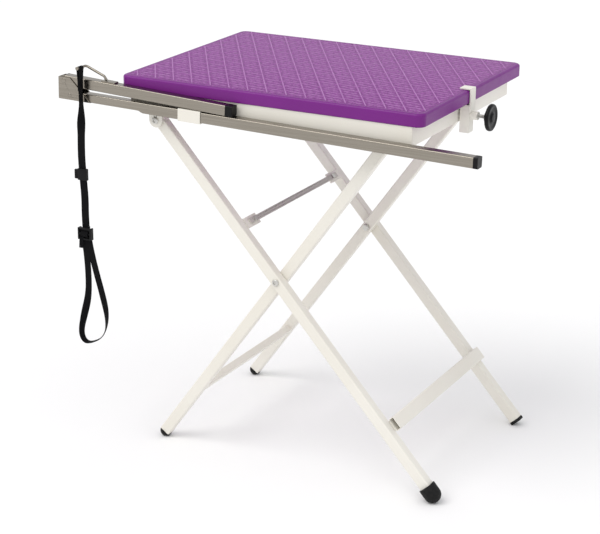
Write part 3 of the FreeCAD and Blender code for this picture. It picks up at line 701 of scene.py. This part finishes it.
def make_leash():
    strap, strap_line, strap_long = make_strap()
    loop, seam = make_loop()
    lock = make_upper_slider()
    slider, folded, tail = make_lower_slider()
    noose, noose_line = make_noose()


# --- the embossed mat ---------------------------------------------------------------------
RIB_ANGLE = 57.7
RIB_SPACING = 0.040
RIB_PHASE = 0.020
RIB_HALF = 0.0016
RIB_HEIGHT = 0.0006
MAT_RISE = 0.0001
MAT_INSET = 0.0068
MAT_CORNER = 0.011
MAT_MARGIN = 0.002
BAR_ROWS = 5
BAR_STEP = 0.0125
BAR_HALF = 0.0029
BAR_RISE = 0.0004
BAR_WAVE = 0.005
BAR_CLEAR = 0.0042
BAR_SHORTEST = 0.004


def clip(low, high, at, way):
    """Ends of a line through a point inside a rectangle, or None."""
    t0, t1 = -9.0, 9.0
    for axis in (0, 1):
        near, far = sorted(((low[axis] - at[axis]) / way[axis], (high[axis] - at[axis]) / way[axis]))
        t0, t1 = max(t0, near), min(t1, far)
    return (at + way * t0, at + way * t1) if t1 - t0 > 0.012 else None


def rib(bm, start, end, floor):
    """Low rounded rib along a straight line, its ends tapered into the mat."""
    along = (end - start).normalized()
    across = Vector((-along.y, along.x, 0))
    length = (end - start).length
    stations = ((0.0, 0.05), (0.004, 1.0), (length - 0.004, 1.0), (length, 0.05))
    outline = ((-1.0, 0.0), (-0.62, 0.62), (-0.25, 0.95), (0.25, 0.95), (0.62, 0.62), (1.0, 0.0))
    rings = []
    for run, share in stations:
        at = start + along * run
        rings.append([bm.verts.new(Vector((at.x, at.y, floor)) + across * a * RIB_HALF * (0.4 + 0.6 * share)
                                   + Z * b * RIB_HEIGHT * share) for a, b in outline])
    skin(bm, rings, closed=False, caps=False)
    return [vert for ring in rings for vert in ring]


def make_mat():
    low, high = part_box("table_top")
    low, high = low + (X + Y) * MAT_INSET, high - (X + Y) * MAT_INSET
    floor = high.z + MAT_RISE
    corner = MAT_CORNER
    bm = bmesh.new()
    layer = bm.verts.layers.float.new("relief")
    outline = []
    for cx, cy, a0 in ((high.x - corner, high.y - corner, 0), (low.x + corner, high.y - corner, 90),
                       (low.x + corner, low.y + corner, 180), (high.x - corner, low.y + corner, 270)):
        for k in range(9):
            angle = math.radians(a0 + 90 * k / 8)
            outline.append(((cx, cy), (math.cos(angle), math.sin(angle))))
    rings = []
    for inset, z in ((0.0, floor - 0.0012), (0.0, floor - 0.0002), (0.0004, floor)):
        rings.append([bm.verts.new((cx + c * (corner - inset), cy + s * (corner - inset), z))
                      for (cx, cy), (c, s) in outline])
    skin(bm, rings)
    lifted = {}
    inner_low, inner_high = low + (X + Y) * MAT_MARGIN, high - (X + Y) * MAT_MARGIN
    for sign in (1, -1):
        way = heading(sign * RIB_ANGLE)
        for k in range(-14, 15):
            ends = clip(inner_low, inner_high, TOP_MIDDLE + X * (k * RIB_SPACING + RIB_PHASE), way)
            if ends:
                for vert in rib(bm, *ends, floor):
                    lifted[vert] = (vert.co.z - floor) / RIB_HEIGHT
    tread(bm, inner_low, inner_high, floor, lifted)
    # relief: how far each vertex stands up; the mat colour uses it to paint a highlight on raised tops
    for vert, share in lifted.items():
        vert[layer] = max(0.0, share)
    mesh = to_mesh(bm, "mat_embossed")
    return piece("mat_embossed", mesh, "table", "purple_mat", replaces=("non_slip_mat",), smooth=50)


def tread(bm, low, high, floor, lifted):
    """Short bars across the table that fill each diamond between the ribs."""
    slope = math.tan(math.radians(RIB_ANGLE))
    tall = RIB_SPACING * slope
    for row in range(-8, 9):
        for column in range(-16, 17):
            shift = 0.5 * RIB_SPACING if row % 2 else 0.0
            across = column * RIB_SPACING + RIB_PHASE + RIB_SPACING / 2 + shift
            centre = TOP_MIDDLE + Vector((across, row * tall / 2, 0))
            for k in range(-(BAR_ROWS // 2), BAR_ROWS // 2 + 1):
                at = centre + Vector((0, k * BAR_STEP, 0))
                half = RIB_SPACING / 2 * (1 - abs(k) * BAR_STEP / (tall / 2)) - BAR_CLEAR
                if half < 0.002 or not low.y + 0.003 < at.y < high.y - 0.003:
                    continue
                x0, x1 = max(at.x - half, low.x + MAT_MARGIN), min(at.x + half, high.x - MAT_MARGIN)
                if x1 - x0 < BAR_SHORTEST:
                    continue
                bar(bm, x0, x1, at.y, floor, lifted)


def bar(bm, x0, x1, y, floor, lifted):
    """One wavy tread bar with sloping sides."""
    steps = max(2, round((x1 - x0) / BAR_WAVE))
    rings = []
    for i in range(steps + 1):
        x = x0 + (x1 - x0) * i / steps
        wave = 0.0006 * math.sin((x - x0) / BAR_WAVE * math.pi)
        rise = BAR_RISE if 0 < i < steps else 0.0
        width = BAR_HALF if 0 < i < steps else BAR_HALF * 0.5
        rings.append([bm.verts.new((x, y + wave + side * width, floor + up * rise))
                      for side, up in ((-1, 0), (-0.6, 1), (0.6, 1), (1, 0))])
    skin(bm, rings, closed=False, caps=False)
    for ring in rings:
        for vert in ring:
            lifted[vert] = 0.75 if vert.co.z > floor + 0.0001 else 0.0


# --- fasteners ------------------------------------------------------------------------------
CROSS_HEAD = 0.0035
HINGE_HEAD = 0.004
BOLT_SHANK_R = 0.0039
NUT_BORE = 0.0041
SCREW_HEAD = 0.0025
SCREW_SHANK_R = 0.002


def socket_head(bm, at, out, radius, height, shank_radius, shank):
    """Domed head with a hexagon socket, on a shank that runs the other way."""
    r, h = radius, height
    profile = [(shank_radius, -shank), (shank_radius, 0.0), (r, 0.0), (r, h * 0.35), (r * 0.93, h * 0.62),
               (r * 0.75, h * 0.86), (r * 0.52, h), (r * 0.47, h * 0.97), (r * 0.44, h * 0.4),
               (r * 0.05, h * 0.34)]
    turned(bm, at, out, profile, hexagon=(7, 8))


def rivet_head(bm, at, out, radius, height, shank_radius, shank):
    """Plain domed head on a shank that runs the other way."""
    r, h = radius, height
    profile = [(shank_radius, -shank), (shank_radius, 0.0), (r, 0.0), (r * 0.98, h * 0.3),
               (r * 0.86, h * 0.66), (r * 0.62, h * 0.9), (r * 0.3, h), (r * 0.02, h)]
    turned(bm, at, out, profile)


def hex_nut(bm, at, out, across_corner, height, bore):
    """Hexagon nut with chamfered corners and a raised locking collar."""
    flat = across_corner * math.cos(math.pi / 6)
    profile = [(bore, 0.0), (flat * 0.94, 0.0), (flat, height * 0.12), (flat, height * 0.68),
               (flat * 0.93, height * 0.76), (bore * 1.45, height * 0.80), (bore * 1.35, height),
               (bore * 1.05, height)]
    turned(bm, at, out, profile, steps=36, hexagon=(2, 3))


def islands(node):
    """Boxes of the separate solids of a node that repeats a part on both sides."""
    obj = NODES[node]
    bm = bmesh.new()
    bm.from_mesh(obj.data)
    bmesh.ops.remove_doubles(bm, verts=bm.verts, dist=0.00001)
    left, found = set(bm.verts), []
    while left:
        stack, group = [left.pop()], []
        while stack:
            vert = stack.pop()
            group.append(vert.co.copy())
            for edge in vert.link_edges:
                other = edge.other_vert(vert)
                if other in left:
                    left.remove(other)
                    stack.append(other)
        low = Vector([min(c[i] for c in group) for i in range(3)])
        high = Vector([max(c[i] for c in group) for i in range(3)])
        found.append((low, high))
    bm.free()
    return sorted(found, key=lambda pair: tuple(pair[0]))


def make_bolts():
    """Button-head bolts in place of the two pairs of plain pivots."""
    for node, name, body, head in (("cross_bolts", "cross_pivot_bolts", "outer_legs", CROSS_HEAD),
                                   ("top_pivot_bolts", "top_hinge_bolts", "table", HINGE_HEAD)):
        bm = bmesh.new()
        for low, high in islands(node):
            middle = (low + high) / 2
            outward = -1 if middle.y < TOP_MIDDLE.y else 1
            face = (low.y if outward < 0 else high.y) - outward * head
            at = Vector((middle.x, face, middle.z))
            socket_head(bm, at, Y * outward, (high.x - low.x) / 2, head, BOLT_SHANK_R,
                        high.y - low.y - head)
        piece(name, to_mesh(bm, name), body, "zinc", replaces=(node,), smooth=38)


def make_nuts():
    for node, name, body in (("cross_nuts", "cross_lock_nuts", "outer_legs"),
                             ("top_pivot_nuts", "top_hinge_lock_nuts", "table")):
        bm = bmesh.new()
        for low, high in islands(node):
            middle = (low + high) / 2
            inward = 1 if middle.y < TOP_MIDDLE.y else -1
            face = low.y if inward > 0 else high.y
            at = Vector((middle.x, face, middle.z))
            hex_nut(bm, at, Y * inward, (high.x - low.x) / 2, high.y - low.y, NUT_BORE)
        piece(name, to_mesh(bm, name), body, "zinc", replaces=(node,), smooth=35)


def make_rivets():
    """Domed rivets through the hinge bracket, and its pin with two upset heads."""
    for node, name, shank, head in (("bracket_rivets", "bracket_domed_rivets", 0.0024, 0.0008),
                                    ("hinge_pin", "hinge_pin_headed", 0.0029, 0.0010)):
        bm = bmesh.new()
        for low, high in islands(node):
            middle = (low + high) / 2
            radius = (high.x - low.x) / 2
            for out in (-1, 1):
                face = (low.y if out < 0 else high.y) - out * head
                at = Vector((middle.x, face, middle.z))
                rivet_head(bm, at, Y * out, radius, head, shank, (high.y - low.y) / 2 - head)
        piece(name, to_mesh(bm, name), "post", "stainless", replaces=(node,), smooth=50)


def make_flange_screws():
    """Screws up through the under-frame, seen from below."""
    bm = bmesh.new()
    for low, high in islands("top_screws"):
        middle = (low + high) / 2
        at = Vector((middle.x, middle.y, low.z + SCREW_HEAD))
        socket_head(bm, at, -Z, (high.x - low.x) / 2, SCREW_HEAD, SCREW_SHANK_R, high.z - low.z - SCREW_HEAD)
    piece("flange_screws", to_mesh(bm, "flange_screws"), "table", "zinc", replaces=("top_screws",), smooth=38)


# --- the clamp's screw and hand wheel ---------------------------------------------------------
THREAD_PITCH = 0.00125


def make_thread():
    low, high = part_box("clamp_screw")
    centre = (low + high) / 2
    radius = (high.z - low.z) / 2
    around, per_turn = 24, 6
    count = int((high.x - low.x) / THREAD_PITCH * per_turn)
    bm = bmesh.new()
    rings = []
    for i in range(count + 1):
        along = (high.x - low.x) * i / count
        ring = []
        for k in range(around):
            angle = 2 * math.pi * k / around
            phase = (along / THREAD_PITCH - k / around) % 1.0
            crest = 1 - abs(2 * phase - 1)
            r = radius - 0.00062 * (1 - min(1.0, crest * 1.35))
            ring.append(bm.verts.new((low.x + along, centre.y + math.cos(angle) * r,
                                      centre.z + math.sin(angle) * r)))
        rings.append(ring)
    skin(bm, rings)
    piece("clamp_threaded_screw", to_mesh(bm, "clamp_threaded_screw"), "clamp_knob", "zinc",
          replaces=("clamp_screw",), smooth=28)


def make_wheel():
    """Hand wheel: round rim with shallow grip flutes, dished faces, and a hub."""
    low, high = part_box("clamp_knob")
    centre = (low + high) / 2
    radius = (high.z - low.z) / 2
    start = low.x
    profile = ((0.0042, 0.0), (0.0104, 0.0), (0.0110, 0.0008), (0.0112, 0.0050), (0.0122, 0.0064),
               (0.0190, 0.0072), (0.0215, 0.0064), (0.0234, 0.0061), (0.0248, 0.0070), (0.0255, 0.0088),
               (0.0255, 0.0112), (0.0248, 0.0131), (0.0234, 0.0139), (0.0210, 0.0140), (0.0190, 0.0134),
               (0.0165, 0.0126), (0.0125, 0.0126), (0.0104, 0.0132), (0.0097, 0.0139), (0.0090, 0.0139),
               (0.0088, 0.0132), (0.0010, 0.0132))
    steps, flutes, deepest, grip_start = 144, 24, 0.0003, 0.0225
    bm = bmesh.new()
    rings = []
    for r, along in profile:
        share = max(0.0, (r - grip_start) / (radius - grip_start))
        ring = []
        for k in range(steps):
            angle = 2 * math.pi * k / steps
            dip = deepest * share * max(0.0, math.cos(angle * flutes)) ** 2
            ring.append(bm.verts.new((start + along, centre.y + math.cos(angle) * (r - dip),
                                      centre.z + math.sin(angle) * (r - dip))))
        rings.append(ring)
    skin(bm, rings)
    piece("clamp_hand_wheel", to_mesh(bm, "clamp_hand_wheel"), "clamp_knob", "black_plastic",
          replaces=("clamp_knob",), smooth=40)
    cap_low, cap_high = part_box("knob_cap")
    bm = bmesh.new()
    depth = cap_high.x - cap_low.x
    profile = [(0.0086, -0.0006), (0.0086, 0.0), (0.0084, depth * 0.35), (0.0074, depth * 0.75),
               (0.0055, depth * 0.95), (0.0020, depth), (0.0003, depth)]
    turned(bm, Vector((cap_low.x, centre.y, centre.z)), X, profile, steps=64)
    piece("hand_wheel_cap", to_mesh(bm, "hand_wheel_cap"), "clamp_knob", "black_plastic",
          replaces=("knob_cap",), smooth=50)


# --- welds on the painted frame ---------------------------------------------------------------
def make_welds():
    front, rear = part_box("apron_front"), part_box("apron_rear")
    runs = []
    for x in (front[0].x, front[1].x):
        for y, inward in ((front[0].y + 0.002, 1), (rear[1].y - 0.002, -1)):
            inner_x = x + (0.002 if x < 0 else -0.002)
            at = Vector((inner_x, y + inward * 0.0002, 0))
            runs.append((at + Z * (front[0].z + 0.002), at + Z * (front[1].z - 0.006)))
    beads("apron_corner_welds", "table", runs)
    low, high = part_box("post_sleeve")
    runs = []
    for x in (low.x + 0.0045, high.x - 0.0045):
        runs.append((Vector((x, front[0].y, low.z + 0.004)), Vector((x, front[0].y, high.z - 0.004))))
    beads("sleeve_welds", "table", runs, 0.0014)
    low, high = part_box("clamp_tube")
    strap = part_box("clamp_hook")
    weld_x = strap[1].x - CLAMP_PLATE
    runs = [(Vector((weld_x, y, strap[0].z + 0.0005)), Vector((weld_x, y, high.z - 0.0005)))
            for y in (low.y - 0.0002, high.y + 0.0002)]
    beads("clamp_welds", "clamp", runs, 0.0012)
    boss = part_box("clamp_boss")
    middle = (boss[0] + boss[1]) / 2
    bm = bmesh.new()
    radius = (boss[1].y - boss[0].y) / 2
    profile = [(radius - 0.002, 0.0), (radius + 0.0013, 0.0), (radius + 0.0010, 0.0009),
               (radius + 0.0001, 0.0016), (radius - 0.002, 0.0016)]
    turned(bm, Vector((boss[0].x + 0.0001, middle.y, middle.z)), X, profile, steps=48)
    piece("boss_weld", to_mesh(bm, "boss_weld"), "clamp", "cream_paint", smooth=60)


make_camera()
make_studio()
finish_cad_nodes()
make_leash()
make_mat()
make_bolts()
make_nuts()
make_rivets()
make_flange_screws()
make_thread()
make_wheel()
make_welds()
